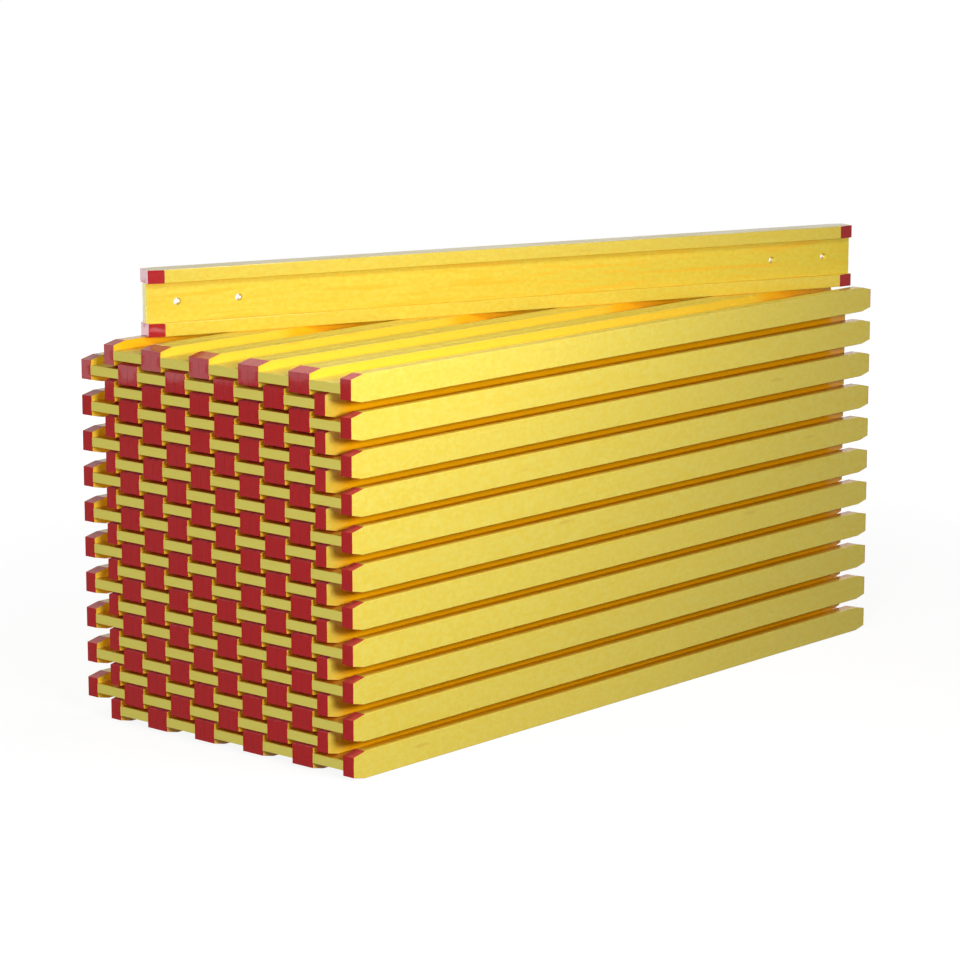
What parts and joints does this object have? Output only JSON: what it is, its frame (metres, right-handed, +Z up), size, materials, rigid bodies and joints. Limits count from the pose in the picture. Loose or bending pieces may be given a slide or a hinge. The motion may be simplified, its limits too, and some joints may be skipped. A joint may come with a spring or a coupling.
{
  "type": "nested stack of timber formwork beams",
  "caption": "Timber I-section formwork beams nested on their sides in layers, flanges in the hollows of the layer below, with one beam standing across the top.",
  "frame": {"origin": "on the floor, under the middle of the box around the stack", "axes": "+X along the stacked beams, from the end face shown nearest to the far one; +Y across them, from the long side shown to the back; +Z up"},
  "size_m": [2.5, 1.1022, 1.36],
  "materials": {
    "flange_timber": "yellow glazed spruce, bevelled ends sealed with red paint",
    "web_panel": "yellow glazed panel with visible grain, satin"
  },
  "bodies": {
    "root": {"flanges_layer_01": "flange_timber", "webs_layer_01": "web_panel", "flanges_layer_02": "flange_timber", "webs_layer_02": "web_panel", "flanges_layer_03": "flange_timber", "webs_layer_03": "web_panel", "flanges_layer_04": "flange_timber", "webs_layer_04": "web_panel", "flanges_layer_05": "flange_timber", "webs_layer_05": "web_panel", "flanges_layer_06": "flange_timber", "webs_layer_06": "web_panel", "flanges_layer_07": "flange_timber", "webs_layer_07": "web_panel", "flanges_layer_08": "flange_timber", "webs_layer_08": "web_panel", "flanges_layer_09": "flange_timber", "webs_layer_09": "web_panel", "flanges_layer_10": "flange_timber", "webs_layer_10": "web_panel", "flanges_layer_11": "flange_timber", "webs_layer_11": "web_panel", "flanges_layer_12": "flange_timber", "webs_layer_12": "web_panel", "flanges_layer_13": "flange_timber", "webs_layer_13": "web_panel", "flanges_layer_14": "flange_timber", "webs_layer_14": "web_panel", "flanges_layer_15": "flange_timber", "webs_layer_15": "web_panel", "flanges_layer_16": "flange_timber", "webs_layer_16": "web_panel", "flanges_layer_17": "flange_timber", "webs_layer_17": "web_panel", "flanges_layer_18": "flange_timber", "webs_layer_18": "web_panel", "flanges_layer_19": "flange_timber", "webs_layer_19": "web_panel", "flanges_layer_20": "flange_timber", "webs_layer_20": "web_panel", "flanges_layer_21": "flange_timber", "webs_layer_21": "web_panel", "top_beam_upper_flange": "flange_timber", "top_beam_lower_flange": "flange_timber", "top_beam_web": "web_panel"}
  },
  "joints": []
}
